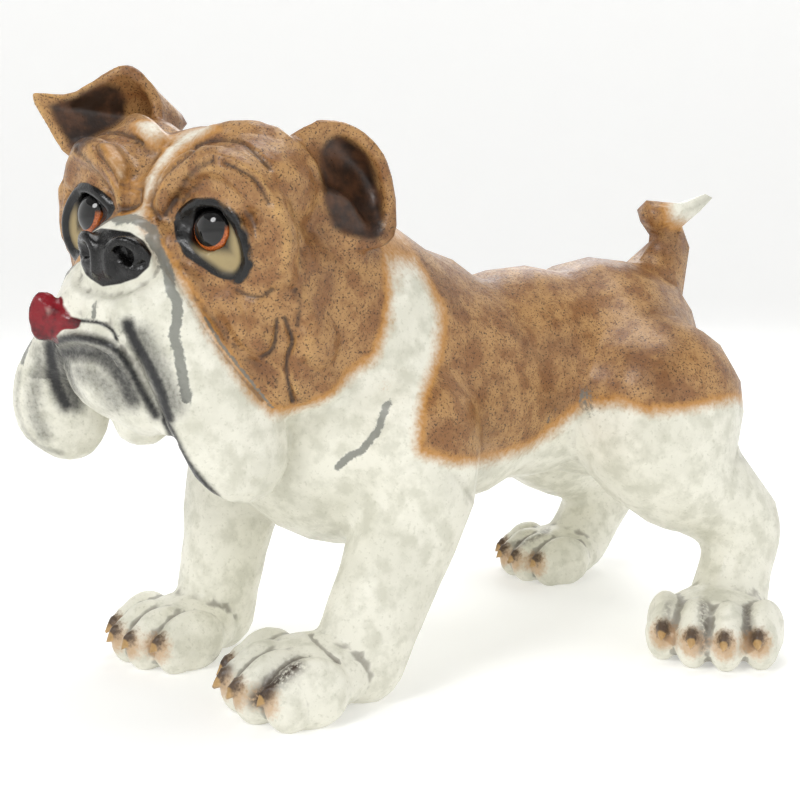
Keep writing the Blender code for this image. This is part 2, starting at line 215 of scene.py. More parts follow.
# The tongue curls out at the right, as stations (x, y, z, thin radius, tall radius).
TONGUE = [
    (-10, 36, -58, 4, 3), (-17, 38, -58, 4, 4), (-23, 41, -58, 4, 7), (-28, 43, -57, 4, 11),
    (-32, 45, -56, 4, 14), (-36, 47, -56, 4, 14),
]
TONGUE_TURN = (0, 0, 30)
TOOTH = ((24, 39.5, -57), (2.4, 3.2, 6))


def tongue_eggs():
    return [((x, y, z), (thin, 6, tall), TONGUE_TURN) for x, y, z, thin, tall in through(TONGUE, 5)]


def face_clay(clay):
    for side in (1, -1):
        rope(clay, [(side * x, y + RIM_RISE, z, RIM_THICKNESS) for x, y, z in EYE_RIM])
        rope(clay, [(side * x, y + NOSTRIL_RISE, z, NOSTRIL_THICKNESS) for x, y, z in NOSTRIL])
        ball(clay, (side * 15, 25, -22), (11, 8, 10))  # nose wing
    for centre, radii in NOSE:
        ball(clay, centre, radii)
    for egg in tongue_eggs():
        ball(clay, *egg)
    ball(clay, *TOOTH)


def lumps(clay):
    """The clay's eggs as one mesh of points and faces."""
    lump = bmesh.new()
    bmesh.ops.create_icosphere(lump, subdivisions=4, radius=1)
    points = np.array([v.co for v in lump.verts])
    faces = np.array([[v.index for v in f.verts] for f in lump.faces])
    lump.free()
    places = np.array(clay)
    placed = points @ places[:, :3, :3].transpose(0, 2, 1) + places[:, None, :3, 3]
    joined = faces + len(points) * np.arange(len(clay))[:, None, None]
    return placed.reshape(-1, 3), joined.reshape(-1, 3).tolist()


def coordinates(mesh):
    co = np.empty(len(mesh.vertices) * 3)
    mesh.vertices.foreach_get("co", co)
    return co.reshape(-1, 3)


def normals(mesh):
    n = np.empty(len(mesh.vertices) * 3, np.float32)
    mesh.vertices.foreach_get("normal", n)
    return n.reshape(-1, 3).astype(float)


def shape(mesh, points):
    mesh.vertices.foreach_set("co", points.astype(np.float32).ravel())
    mesh.update()


def ease(x, low, high):
    """0 below low, 1 above high, and smooth between them."""
    t = np.clip((x - low) / (high - low), 0, 1)
    return t * t * (3 - 2 * t)


def shown(name, mesh):
    obj = bpy.data.objects.new(name, mesh)
    bpy.context.scene.collection.objects.link(obj)
    return obj


def evaluated(obj):
    """The object's mesh with its modifiers, and the object removed."""
    bpy.context.view_layer.update()
    mesh = bpy.data.meshes.new_from_object(obj.evaluated_get(bpy.context.evaluated_depsgraph_get()))
    bpy.data.objects.remove(obj)
    return mesh


def weigh(obj, name, weights, levels=16):
    group = obj.vertex_groups.new(name=name)
    grade = np.round(np.clip(weights, 0, 1) * levels).astype(int)
    for g in range(1, levels + 1):
        group.add(np.nonzero(grade == g)[0].tolist(), g / levels, "REPLACE")
    return name


def softness(points):
    """How far each point of the skin is smoothed: most on the trunk, least on the face and toes."""
    local = moved(points, HEAD.inverted())
    face = ease(local[:, 1], -80, -40) * ease(local[:, 2], -175, -150)
    top = ease(local[:, 2], -5, 30) * ease(local[:, 1], -130, -100)
    low = 1 - ease(points[:, 2], 0.045, 0.09)
    tail = ease(points[:, 1], 0.14, 0.17) * ease(points[:, 2], 0.235, 0.26)
    fine = np.maximum.reduce([face, top, low, tail])
    return 1 - 0.92 * fine


def fused_skin():
    clay = []
    toe_clay(clay)
    face_clay(clay)
    points, faces = lumps(clay)
    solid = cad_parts["statue"].data
    count = len(points)
    faces += [[count + v for v in p.vertices] for p in solid.polygons]
    mesh = bpy.data.meshes.new("clay")
    mesh.from_pydata(np.vstack([points, coordinates(solid)]), [], faces)
    obj = shown("clay", mesh)
    remesh = obj.modifiers.new("skin", "REMESH")
    remesh.mode = "VOXEL"
    remesh.voxel_size = VOXEL
    mesh = evaluated(obj)
    obj = shown("skin", mesh)
    soft = obj.modifiers.new("soft", "SMOOTH")
    soft.iterations = SMOOTHING
    soft.factor = 0.5
    soft.vertex_group = weigh(obj, "soft", softness(coordinates(mesh)))
    return evaluated(obj)


# Rolls and creases, each a line in pixels with its width and depth in millimetres. They are drawn
# on the near side and mirrored; a negative depth raises a roll.
HEAD_ROLLS = [
    ([(182, 192), (190, 178), (205, 168), (222, 172), (238, 186), (250, 204)], 5, -1.5),
    ([(259, 218), (265, 238), (262, 262)], 3.6, -1.6),
    ([(279, 212), (287, 238), (284, 268)], 4.5, -1.8),
    ([(256, 306), (262, 311)], 6, -1.8),
    ([(258, 328), (264, 338)], 6.5, -2.2),
    ([(303, 298), (311, 322), (307, 350)], 6, -2.4),
    ([(228, 300), (238, 316), (246, 334)], 4.5, -1.2),
    ([(300, 235), (306, 255), (302, 275)], 5, -1.4),
]
HEAD_CREASES = [
    ([(165, 215), (175, 200), (185, 183), (195, 170), (212, 161)], 1.7, 1.6),
    ([(160, 218), (150, 205), (155, 190), (163, 175), (180, 160), (200, 145)], 2.0, 2.0),
    ([(195, 147), (205, 142), (222, 140), (240, 142), (252, 150), (270, 168)], 1.6, 1.6),
    ([(225, 163), (240, 170), (252, 177), (262, 190), (268, 203)], 1.6, 1.6),
    ([(237, 290), (250, 296), (262, 296), (272, 290)], 1.6, 1.2),
    ([(262, 357), (272, 350), (276, 335), (277, 320)], 1.5, 1.8),
    ([(285, 318), (292, 340), (288, 355), (287, 375), (293, 402)], 1.6, 2.0),
    ([(295, 290), (300, 305), (297, 325)], 1.8, 1.2),
    ([(121, 252), (123, 257), (127, 260)], 3.0, 5.5),
    ([(127, 260), (134, 267), (143, 264)], 1.5, 2.4),
    ([(160, 250), (172, 275), (190, 303), (210, 335), (235, 368), (262, 400)], 1.8, 1.0),
]
BODY_CREASES = [
    ([(578, 400), (575, 420), (577, 440), (590, 460)], 3.5, 2.6),
    ([(520, 285), (515, 300)], 3, 1.4),
    ([(535, 275), (545, 300)], 3, 1.4),
    ([(405, 470), (420, 462), (440, 465), (450, 470), (472, 500)], 2.5, 1.8),
    ([(310, 622), (312, 635), (325, 648), (338, 660)], 2.5, 2.2),
]


def tree_of(mesh):
    lump = bmesh.new()
    lump.from_mesh(mesh)
    tree = BVHTree.FromBMesh(lump)
    lump.free()
    return tree


def drawn(tree, pixels, steps=5):
    """A line of pixels laid on the skin, as the photograph's camera sees it."""
    eye = Vector(CAMERA_AT)
    hits = [tree.ray_cast(eye, sight_line(p))[0] for p in through(pixels, steps)]
    return [h for h in hits if h is not None]


def twin(point, place):
    local = place.inverted() @ point
    local.x = -local.x
    return place @ local


def distance(points, path):
    """Distance of each point from a path."""
    best = np.full(len(points), np.inf)
    for a, b in zip(path, path[1:]):
        along = b - a
        share = np.clip(((points - a) @ along) / max(along @ along, 1e-12), 0, 1)
        best = np.minimum(best, np.linalg.norm(points - a - share[:, None] * along, axis=1))
    return best


def near(points, path, reach):
    """Indices of the points that may lie within reach of the path."""
    low, high = path.min(0) - reach, path.max(0) + reach
    return np.nonzero(((points > low) & (points < high)).all(1))[0]


def press(mesh, tree, strokes, place):
    points, out = coordinates(mesh), normals(mesh)
    sink = np.zeros(len(points))
    for pixels, width, depth in strokes:
        line = drawn(tree, pixels)
        far = [tree.find_nearest(twin(p, place))[0] for p in line]
        for path in (line, far):
            path = np.array(path)
            close = near(points, path, 3 * width * MM)
            push = depth * MM * np.exp(-((distance(points[close], path) / (width * MM)) ** 2))
            stronger = np.abs(push) > np.abs(sink[close])
            sink[close] = np.where(stronger, push, sink[close])
    shape(mesh, points - out * sink[:, None])


def grain(mesh):
    """The hand-worked surface of the cast: shallow dents a few millimetres wide."""
    points, out = coordinates(mesh), normals(mesh)
    places = [Vector(p) for p in points]
    rough = np.array([noise.noise(p * 120) + 0.6 * noise.noise(p * 290) for p in places])
    shape(mesh, points + out * (rough * GRAIN)[:, None])


def light_skin(mesh):
    """The skin with fewer triangles, finest on the face."""
    obj = shown("skin", mesh)
    local = moved(coordinates(mesh), HEAD.inverted())
    face = ease(local[:, 1], -90, -60) * ease(local[:, 2], -180, -160)
    low = 1 - ease(coordinates(mesh)[:, 2], 0.05, 0.09)
    fewer = obj.modifiers.new("fewer", "DECIMATE")
    fewer.vertex_group = weigh(obj, "coarse", 1 - 0.9 * np.maximum(face, 0.5 * low))
    mesh.calc_loop_triangles()
    fewer.ratio = SKIN_TRIANGLES / len(mesh.loop_triangles)
    return evaluated(obj)


def stand(mesh):
    """Cut the paws off flat at the ground, and keep the skin within the solid's box."""
    lump = bmesh.new()
    lump.from_mesh(mesh)
    parts = [*lump.verts, *lump.edges, *lump.faces]
    bmesh.ops.bisect_plane(lump, geom=parts, dist=1e-6, plane_no=(0, 0, 1), clear_inner=True)
    bmesh.ops.holes_fill(lump, edges=[e for e in lump.edges if e.is_boundary], sides=0)
    bmesh.ops.triangulate(lump, faces=[f for f in lump.faces if len(f.verts) > 4])
    lump.to_mesh(mesh)
    lump.free()
    shape(mesh, np.clip(coordinates(mesh), *np.array(cad_box)))


# Painted outlines, in pixels. WHITE_FACE and SADDLE run on past the silhouette.
WHITE_FACE = [
    (220, 130), (200, 142), (180, 155), (165, 172), (158, 190), (150, 203), (150, 215), (148, 224),
    (160, 240), (170, 255), (182, 275), (200, 300), (210, 325), (225, 348), (240, 370), (260, 395),
    (280, 415), (297, 435), (345, 540), (250, 600), (-90, 600), (-90, 90), (190, 90),
]
SADDLE = [
    (392, 225), (400, 243), (412, 252), (425, 265), (435, 280), (442, 300), (447, 325), (446, 345),
    (440, 360), (432, 380), (424, 415), (422, 430), (422, 450), (440, 455), (460, 458), (480, 457),
    (500, 452), (525, 443), (545, 432), (558, 422), (570, 408), (585, 398), (597, 396), (615, 396),
    (630, 402), (655, 408), (680, 405), (700, 402), (723, 395), (790, 395), (790, 60), (392, 60),
]
TAIL_TIP = [(663, 206), (660, 222), (668, 228), (678, 228), (740, 240), (740, 160), (668, 180)]
# Where the brown of the head ends on the neck: y and z in head millimetres.
COLLAR = [(-39, -97), (-74, -66), (-85, -30), (-100, 10), (-118, 50), (-140, 110)]
PIXELS_PER_MM = 1.72  # on the head

# Stored distances are cut off here: those of the brown, of the face's marks and of the claws.
BROWN_REACH = 60
FACE_REACH = 30
CLAW_REACH = 40


def inside(points, outline):
    """Which points lie in a closed outline."""
    x, y = points.T
    hit = np.zeros(len(points), bool)
    for (x0, y0), (x1, y1) in zip(outline, outline[1:] + outline[:1]):
        crosses = (y0 > y) != (y1 > y)
        if y0 != y1:
            hit ^= crosses & (x < (x1 - x0) * (y - y0) / (y1 - y0) + x0)
    return hit


def depth_in(points, outline):
    """Distance to a closed outline, positive inside it."""
    edge = distance(points, [np.array(p, float) for p in outline + outline[:1]])
    return np.where(inside(points, outline), edge, -edge)


def ahead_of(points, line):
    """How far points lie in front of an open line, within its height."""
    closed = line + [(400, line[-1][1]), (400, line[0][1])]
    return depth_in(points, closed)


def egg_depth(local, centre, radii, turn=(0, 0, 0)):
    """Roughly how far points lie outside an egg, in millimetres."""
    spin = np.array(Euler([math.radians(a) for a in turn]).to_matrix())
    scaled = ((local - centre) @ spin) / radii
    return (np.linalg.norm(scaled, axis=1) - 1) * min(radii)


# The black nose leather; its left end runs on past the middle of the nose.
NOSE_LEATHER = [
    (50, 224), (90, 229), (110, 229), (130, 232), (144, 241), (152, 254), (149, 267), (137, 278),
    (120, 284), (100, 287), (50, 287),
]
# The dark insides of the ears.
RIGHT_EAR_INSIDE = [
    (42, 102), (60, 98), (90, 84), (108, 79), (122, 84), (131, 100), (130, 116), (120, 127),
    (105, 136), (90, 146), (76, 158), (66, 148), (54, 126),
]
LEFT_EAR_INSIDE = [
    (316, 150), (324, 136), (340, 131), (356, 138), (370, 152), (380, 176), (386, 205), (390, 240),
    (372, 246), (350, 240), (330, 232), (322, 205), (316, 175),
]

# Brush marks, each a line in pixels with its width in pixels and its strength.
# The head's dark lines follow its pressed creases: partly the statue's own ink and partly painted
# shade in them.
HEAD_INK_AND_SHADE = [
    ([(195, 147), (205, 142), (222, 140), (240, 142), (252, 150), (270, 168)], 2.0, 0.7),
    ([(225, 163), (240, 170), (252, 177), (262, 190), (268, 203)], 2.0, 0.6),
    ([(165, 215), (175, 200), (185, 183), (195, 170), (212, 161)], 3.5, 0.6),
    ([(160, 218), (150, 205), (155, 190), (163, 175), (180, 160), (200, 145)], 3, 0.4),
    ([(262, 357), (272, 350), (276, 335), (277, 320)], 1.8, 0.8),
    ([(285, 318), (292, 340), (288, 355), (287, 375), (293, 402)], 1.7, 0.85),
    ([(237, 290), (250, 296), (262, 296), (272, 290)], 2.4, 0.5),
    ([(295, 290), (300, 305), (297, 325)], 2.4, 0.35),
]
GREY_MARKS = [
    ([(150, 238), (160, 253), (168, 273), (171, 290), (177, 302), (177, 320), (174, 335),
      (178, 350), (184, 385), (187, 398)], 6, 1.0),
    ([(205, 318), (222, 345), (240, 368), (262, 395), (293, 432)], 2, 0.75),
    ([(92, 230), (118, 220), (135, 219), (152, 230), (156, 240)], 6, 0.9),
    ([(88, 288), (92, 300), (91, 316)], 5, 1.0),
    ([(66, 296), (70, 299)], 4, 0.7),
]
# Dark shading in the lips and round the chin: partly the statue's own grey paint and partly painted
# shade under the lips, in the mouth's gap and inside the far flew.
LIP_SHADE = [
    ([(165, 420), (175, 440), (185, 460), (200, 480), (216, 497)], 5, 1.0),
    ([(46, 331), (58, 324), (70, 321), (85, 321), (100, 323), (112, 330), (117, 340)], 2.2, 0.95),
    ([(54, 345), (62, 340), (80, 338), (104, 343), (119, 353), (130, 369), (141, 390), (156, 415)],
     7, 0.9),
    ([(56, 356), (70, 352), (90, 353), (108, 360), (122, 378), (132, 398)], 16, 0.8),
    ([(80, 372), (100, 380), (116, 400)], 18, 0.55),
    ([(50, 345), (53, 368), (58, 388), (66, 404)], 10, 0.95),
    ([(128, 325), (137, 345), (150, 368), (161, 392), (168, 418)], 9, 0.97),
    ([(140, 335), (158, 368), (174, 405)], 17, 0.6),
    ([(62, 352), (66, 380), (76, 404)], 12, 0.75),
    ([(40, 350), (36, 380), (34, 410), (44, 435)], 12, 0.5),
    ([(20, 372), (17, 400), (24, 428), (40, 446), (62, 453)], 4, 0.4),
]
BODY_MARKS = [
    ([(388, 403), (383, 415), (378, 430), (370, 440), (362, 450), (350, 456), (338, 467)], 4.5, 0.9),
    ([(545, 425), (565, 410), (580, 395), (600, 380), (625, 372)], 5, 0.6),
]
PAW_SMUDGES = [
    ([(256, 700), (266, 690), (280, 678), (296, 666)], 8, 1.0),
    ([(218, 660), (228, 668)], 6, 0.7),
    ([(703, 604), (704, 650)], 5, 0.7),
    ([(668, 604), (666, 636)], 4, 0.5),
    ([(748, 608), (752, 645)], 5, 0.6),
    ([(510, 545), (528, 541), (548, 530)], 3, 0.6),
]
SPATTER = [
    ([(404, 285), (410, 300), (410, 320), (414, 340)], 5, 0.9),
    ([(383, 387), (390, 380)], 3, 0.7),
    ([(330, 300), (336, 330), (334, 360)], 7, 0.8),
]


def brushed(pixels, marks):
    """Strength of the brush marks at each pixel."""
    result = np.zeros(len(pixels))
    for line, width, strength in marks:
        path = through(line, 4)
        close = near(pixels, path, 3 * width)
        wet = strength * np.exp(-((distance(pixels[close], path) / width) ** 2))
        result[close] = np.maximum(result[close], wet)
    return result


def hollows(mesh, points, rounds=(3, 14)):
    """How deep each point lies in a crease, from two degrees of smoothing."""
    edges = np.empty(len(mesh.edges) * 2, int)
    mesh.edges.foreach_get("vertices", edges)
    a, b = edges.reshape(-1, 2).T
    count = np.bincount(a, minlength=len(points)) + np.bincount(b, minlength=len(points))
    soft = points.copy()
    result = []
    for k in range(1, rounds[1] + 1):
        total = np.empty_like(soft)
        for axis in range(3):
            total[:, axis] = np.bincount(a, soft[b, axis], len(points))
            total[:, axis] += np.bincount(b, soft[a, axis], len(points))
        soft = 0.5 * soft + 0.5 * total / count[:, None]
        if k in rounds:
            result.append(((soft - points) * normals(mesh)).sum(1) / MM)
    return result


def store(mesh, name, values):
    attribute = mesh.attributes.new(name, "FLOAT", "POINT")
    attribute.data.foreach_set("value", np.asarray(values, np.float32))


def mark_skin(mesh):
    """Everything that the painter's brush follows, painted shade and highlight among it, as values
    on the skin's points.
    """
    points, out = coordinates(mesh), normals(mesh)
    local = moved(points, HEAD.inverted())
    folded = np.column_stack([np.abs(local[:, 0]), local[:, 1:]])
    head_pixels = seen(moved(folded, HEAD))
    near_side = points.copy()
    near_side[:, 0] = SPINE_X + np.abs(points[:, 0] - SPINE_X)
    body_pixels = seen(near_side)
    pixels = seen(points)
    sight = CAMERA_AT - points
    sight /= np.linalg.norm(sight, axis=1)[:, None]
    towards = (out * sight).sum(1)

    head = ahead_of(local[:, 1:], COLLAR) * PIXELS_PER_MM
    brown_head = np.minimum(head, -depth_in(head_pixels, WHITE_FACE))
    on_tail = ease(points[:, 1], 0.12, 0.15) * ease(points[:, 2], 0.23, 0.25)
    saddle = np.where(head > 10, -BROWN_REACH, depth_in(body_pixels, SADDLE))
    tip = np.where(on_tail > 0.5, -depth_in(pixels, TAIL_TIP), BROWN_REACH)
    brown = np.maximum(brown_head, np.minimum(saddle, tip))
    store(mesh, "brown", np.clip(brown, -BROWN_REACH, BROWN_REACH))
    face = ease(local[:, 1], -60, -35) * ease(head, -4, 4)

    rim_path = through([(x, y + RIM_RISE, z) for x, y, z in EYE_RIM], 8)
    store(mesh, "rim", np.minimum(distance(folded, rim_path), FACE_REACH))
    eye_outline = [(x, z) for x, _, z in rim_path[:-1]]
    socket = np.where(local[:, 1] > -25, depth_in(folded[:, [0, 2]], eye_outline), -FACE_REACH)
    store(mesh, "eyeball", socket)
    # Where the olive white shows; elsewhere the eyeball is painted black as the upper lid's painted
    # shadow.
    low = ease(-folded[:, 2], 7, 15)
    outer = ease(folded[:, 0], 61, 68)
    store(mesh, "white_of_eye", np.maximum(low, outer) * ease(socket, 0.5, 4.5))
    nose = np.where(local[:, 1] > 6, depth_in(head_pixels, NOSE_LEATHER), -FACE_REACH)
    store(mesh, "nose", nose)
    store(mesh, "tongue", np.minimum.reduce([egg_depth(local, *egg) for egg in tongue_eggs()]))
    store(mesh, "tooth", egg_depth(local, *TOOTH))

    cup = local[:, 2] + 0.3 * local[:, 1]
    right_ear = np.where(local[:, 0] < -40, depth_in(pixels, RIGHT_EAR_INSIDE), -FACE_REACH)
    left_ear = np.where(local[:, 0] > 40, depth_in(pixels, LEFT_EAR_INSIDE), -FACE_REACH)
    ears = np.where(cup > -40, np.maximum(right_ear, left_ear), -FACE_REACH)
    store(mesh, "ear", np.where(towards > 0, ears, -FACE_REACH))

    front = local[:, 1] > -40
    visible = ease(towards, 0.02, 0.2) * front
    mirrored = front * (1 - visible)
    seen_shade = brushed(pixels, LIP_SHADE) * visible
    hidden_shade = brushed(head_pixels, LIP_SHADE) * mirrored
    store(mesh, "lip_and_chin_shade", np.maximum(seen_shade, hidden_shade))
    # Painted shade: the inner faces of the flews are painted near black.
    facing = out @ np.array(HEAD.to_3x3().normalized())
    inner = ease(-facing[:, 0] * np.sign(local[:, 0]), 0.2, 0.7) * ease(-local[:, 2], 60, 80)
    store(mesh, "inner_lip_shade", inner * ease(local[:, 1], -40, -20) * (head > 0))
    store(mesh, "crease_ink_and_shade", brushed(head_pixels, HEAD_INK_AND_SHADE) * (head > 0))
    greys = brushed(head_pixels, GREY_MARKS) * front
    on_body = (head < 0) & (points[:, 0] > SPINE_X)
    store(mesh, "grey", np.where(on_body, brushed(pixels, BODY_MARKS), greys))
    store(mesh, "spatter", on_body * brushed(pixels, SPATTER))
    on_paw = (points[:, 2] < 0.07) & (towards > 0)
    store(mesh, "smudge", on_paw * brushed(pixels, PAW_SMUDGES))

    tips = np.array(claw_tips())
    gaps = np.min([np.linalg.norm(points - t, axis=1) for t in tips], axis=0)
    roots = tips + (0, 0, 6 * MM)
    above = np.min([np.linalg.norm(points - r, axis=1) for r in roots], axis=0)
    store(mesh, "claw", np.minimum(gaps / MM, CLAW_REACH))
    store(mesh, "claw_root", np.minimum(above / MM, CLAW_REACH))
    # The crease depths drive painted shade in the creases and hollows and a painted highlight on the
    # raised rolls.
    fine, broad = hollows(mesh, points)
    fine_clay = np.maximum(face, 1 - ease(points[:, 2], 0.03, 0.05))
    store(mesh, "crease", fine * fine_clay)
    store(mesh, "hollow", broad * fine_clay)


def srgb(r, g, b):
    """A colour given as 0 to 255, as the shader takes it."""
    parts = (c / 255 for c in (r, g, b))
    return tuple(c / 12.92 if c < 0.04045 else ((c + 0.055) / 1.055) ** 2.4 for c in parts)


class Palette:
    """Builds the nodes of one material."""

    def __init__(self, name):
        self.material = bpy.data.materials.new(name)
        self.material.use_nodes = True
        self.tree = self.material.node_tree
        self.shader = self.tree.nodes["Principled BSDF"]
        self.place = self.tree.nodes.new("ShaderNodeTexCoord").outputs["Object"]

    def give(self, socket, value):
        if isinstance(value, bpy.types.NodeSocket):
            self.tree.links.new(value, socket)
        elif isinstance(value, tuple):
            socket.default_value = (*value, 1)
        else:
            socket.default_value = value

    def value(self, name):
        node = self.tree.nodes.new("ShaderNodeAttribute")
        node.attribute_name = name
        return node.outputs["Fac"]

    def math(self, operation, a, b=0.0, clamp=False):
        node = self.tree.nodes.new("ShaderNodeMath")
        node.operation = operation
        node.use_clamp = clamp
        self.give(node.inputs[0], a)
        self.give(node.inputs[1], b)
        return node.outputs[0]

    def noise(self, scale, detail=3.0, roughness=0.55):
        node = self.tree.nodes.new("ShaderNodeTexNoise")
        self.give(node.inputs["Vector"], self.place)
        node.inputs["Scale"].default_value = scale
        node.inputs["Detail"].default_value = detail
        node.inputs["Roughness"].default_value = roughness
        return node.outputs["Fac"]

    def cells(self, scale):
        node = self.tree.nodes.new("ShaderNodeTexVoronoi")
        self.give(node.inputs["Vector"], self.place)
        node.inputs["Scale"].default_value = scale
        return node.outputs["Distance"]

    def step(self, x, low, high):
        """0 at low and 1 at high, smooth between; high may be below low."""
        node = self.tree.nodes.new("ShaderNodeMapRange")
        node.interpolation_type = "SMOOTHSTEP"
        node.clamp = True
        self.give(node.inputs["Value"], x)
        ends = (low, high, 0, 1) if low < high else (high, low, 1, 0)
        for name, end in zip(("From Min", "From Max", "To Min", "To Max"), ends):
            node.inputs[name].default_value = end
        return node.outputs["Result"]

    def mix(self, amount, a, b):
        node = self.tree.nodes.new("ShaderNodeMix")
        node.data_type = "RGBA"
        self.give(node.inputs["Factor"], amount)
        self.give(node.inputs[6], a)  # the first colour input
        self.give(node.inputs[7], b)
        return node.outputs[2]  # the colour output

    def bump(self, height, strength, reach, under=None):
        node = self.tree.nodes.new("ShaderNodeBump")
        node.inputs["Strength"].default_value = strength
        node.inputs["Distance"].default_value = reach
        self.give(node.inputs["Height"], height)
        if under is not None:
            self.give(node.inputs["Normal"], under)
        return node.outputs["Normal"]


CREAM = srgb(236, 234, 220)
STONE_GREY = srgb(186, 185, 166)
SHADE_GREY = srgb(116, 118, 112)
TAN = srgb(180, 138, 88)
SIENNA = srgb(142, 98, 57)
RUSSET = srgb(112, 72, 42)
HONEY = srgb(214, 172, 108)
UMBER = srgb(56, 38, 26)
OCHRE = srgb(186, 128, 46)
INK = srgb(30, 30, 31)
BLACK = srgb(10, 9, 9)
TONGUE_RED = srgb(132, 20, 32)
TONGUE_SHADE = srgb(70, 8, 16)
OLIVE_WHITE = srgb(166, 148, 106)
OLIVE_SHADE = srgb(70, 62, 46)
EAR_DARK = srgb(44, 30, 22)
EAR_BROWN = srgb(88, 58, 38)
PUPIL_BLACK = srgb(8, 7, 7)
IRIS_LIGHT = srgb(214, 116, 50)
IRIS_DARK = srgb(158, 72, 28)


def resin_paint():
    p = Palette("painted_resin_with_painted_light")
    broad = p.noise(24, 4)
    blotch = p.noise(70, 4, 0.6)
    fine = p.noise(420, 3, 0.6)
    grit = p.noise(850, 2, 0.5)
    wobble = p.math("MULTIPLY", p.math("SUBTRACT", blotch, 0.5), 9.0)
    fray = p.math("MULTIPLY", p.math("SUBTRACT", fine, 0.5), 10.0)
    brown = p.math("ADD", p.value("brown"), p.math("ADD", wobble, fray))

    white = p.mix(p.math("MULTIPLY", p.step(blotch, 0.42, 0.66), 0.48), CREAM, STONE_GREY)
    white = p.mix(p.math("MULTIPLY", p.step(broad, 0.46, 0.64), 0.25), white, STONE_GREY)
    white = p.mix(p.math("MULTIPLY", p.step(fine, 0.56, 0.7), 0.35), white, STONE_GREY)
    halo = p.math("MULTIPLY", p.step(brown, -15, 1), 0.95)
    white = p.mix(halo, white, OCHRE)
    drops = p.math("MULTIPLY", p.value("spatter"), p.step(grit, 0.52, 0.6))
    white = p.mix(drops, white, OCHRE)

    coat = p.mix(p.step(blotch, 0.38, 0.64), TAN, SIENNA)
    coat = p.mix(p.math("MULTIPLY", p.step(broad, 0.5, 0.66), 0.5), coat, RUSSET)
    coat = p.mix(p.math("MULTIPLY", p.step(fine, 0.52, 0.66), 0.5), coat, RUSSET)
    # Painted highlight: the raised rolls of the brown coat are lightened towards honey.
    coat = p.mix(p.math("MULTIPLY", p.step(p.value("hollow"), -0.25, -1.1), 0.6), coat, HONEY)
    coat = p.mix(p.math("MULTIPLY", p.step(grit, 0.57, 0.65), 0.8), coat, UMBER)
    colour = p.mix(p.step(brown, -2, 6), white, coat)

    # Painted shade: the creases and hollows of the face and paws are darkened towards umber.
    colour = p.mix(p.math("MULTIPLY", p.step(p.value("crease"), 0.05, 0.3), 0.45), colour, UMBER)
    colour = p.mix(p.math("MULTIPLY", p.step(p.value("hollow"), 0.3, 1.6), 0.4), colour, UMBER)
    stroke = p.math("ADD", p.value("grey"), p.math("MULTIPLY", p.math("SUBTRACT", fine, 0.5), 0.9))
    colour = p.mix(p.math("MULTIPLY", p.step(stroke, 0.3, 0.6), 0.85), colour, SHADE_GREY)
    # Painted shade on the inner faces of the flews.
    colour = p.mix(p.math("MULTIPLY", p.value("inner_lip_shade"), 0.8), colour, INK)
    # Dark lines in the head's creases, partly ink and partly painted shade.
    colour = p.mix(p.math("MULTIPLY", p.value("crease_ink_and_shade"), p.step(fine, 0.2, 0.5)), colour, UMBER)
    # Painted shade in the lips and round the chin, over the statue's own grey paint there.
    shade = p.math("ADD", p.value("lip_and_chin_shade"), p.math("MULTIPLY", p.math("SUBTRACT", fine, 0.5), 0.35))
    colour = p.mix(p.step(shade, 0.05, 0.95), colour, INK)
    ear = p.math("ADD", p.value("ear"), wobble)
    dark_ear = p.mix(p.step(blotch, 0.4, 0.68), EAR_DARK, EAR_BROWN)
    colour = p.mix(p.step(ear, -1, 9), colour, dark_ear)
    stain = p.step(p.math("ADD", p.value("claw"), fray), 15, 7)
    smudge = p.step(p.math("ADD", p.value("claw_root"), fray), 11, 4)
    colour = p.mix(p.math("MULTIPLY", stain, 0.6), colour, OCHRE)
    colour = p.mix(p.math("MULTIPLY", smudge, 0.9), colour, UMBER)
    colour = p.mix(p.math("MULTIPLY", p.value("smudge"), p.step(fine, 0.25, 0.55)), colour, UMBER)
    claw = p.step(p.value("claw"), 4.0, 2.8)
    colour = p.mix(p.math("MULTIPLY", claw, 0.6), colour, HONEY)

    # The eyeball's olive white darkens towards the socket's edge as painted shade, and above and on
    # its inner side it is painted black, a painted shadow of the upper lid.
    white_of_eye = p.mix(p.step(p.value("eyeball"), 6.5, 2.5), OLIVE_WHITE, OLIVE_SHADE)
    eye = p.mix(p.value("white_of_eye"), BLACK, white_of_eye)
    colour = p.mix(p.step(p.value("eyeball"), -0.5, 0.5), colour, eye)
    rim = p.step(p.value("rim"), 4.3, 3.5)
    nose = p.step(p.value("nose"), -1.0, 1.0)
    tongue = p.step(p.value("tongue"), 1.5, 0.8)
    tooth = p.step(p.value("tooth"), 1.0, 0.5)
    colour = p.mix(rim, colour, BLACK)
    colour = p.mix(nose, colour, BLACK)
    colour = p.mix(tongue, colour, p.mix(p.step(blotch, 0.42, 0.62), TONGUE_RED, TONGUE_SHADE))
    colour = p.mix(tooth, colour, CREAM)
    p.give(p.shader.inputs["Base Color"], colour)

    gloss = p.math("MAXIMUM", p.math("MAXIMUM", rim, tongue), p.math("MULTIPLY", nose, 0.6))
    matte = p.math("ADD", 0.4, p.math("MULTIPLY", p.math("SUBTRACT", fine, 0.5), 0.6))
    roughness = p.math("SUBTRACT", matte, p.math("MULTIPLY", gloss, 0.26), clamp=True)
    p.give(p.shader.inputs["Roughness"], roughness)
    p.shader.inputs["Specular IOR Level"].default_value = 0.4
    p.shader.inputs["Coat Weight"].default_value = 0.12
    p.shader.inputs["Coat Roughness"].default_value = 0.18
    pits = p.bump(p.noise(520, 5, 0.65), 0.35, 0.0006)
    p.give(p.shader.inputs["Normal"], p.bump(p.cells(700), 0.18, 0.0004, pits))
    return p.material


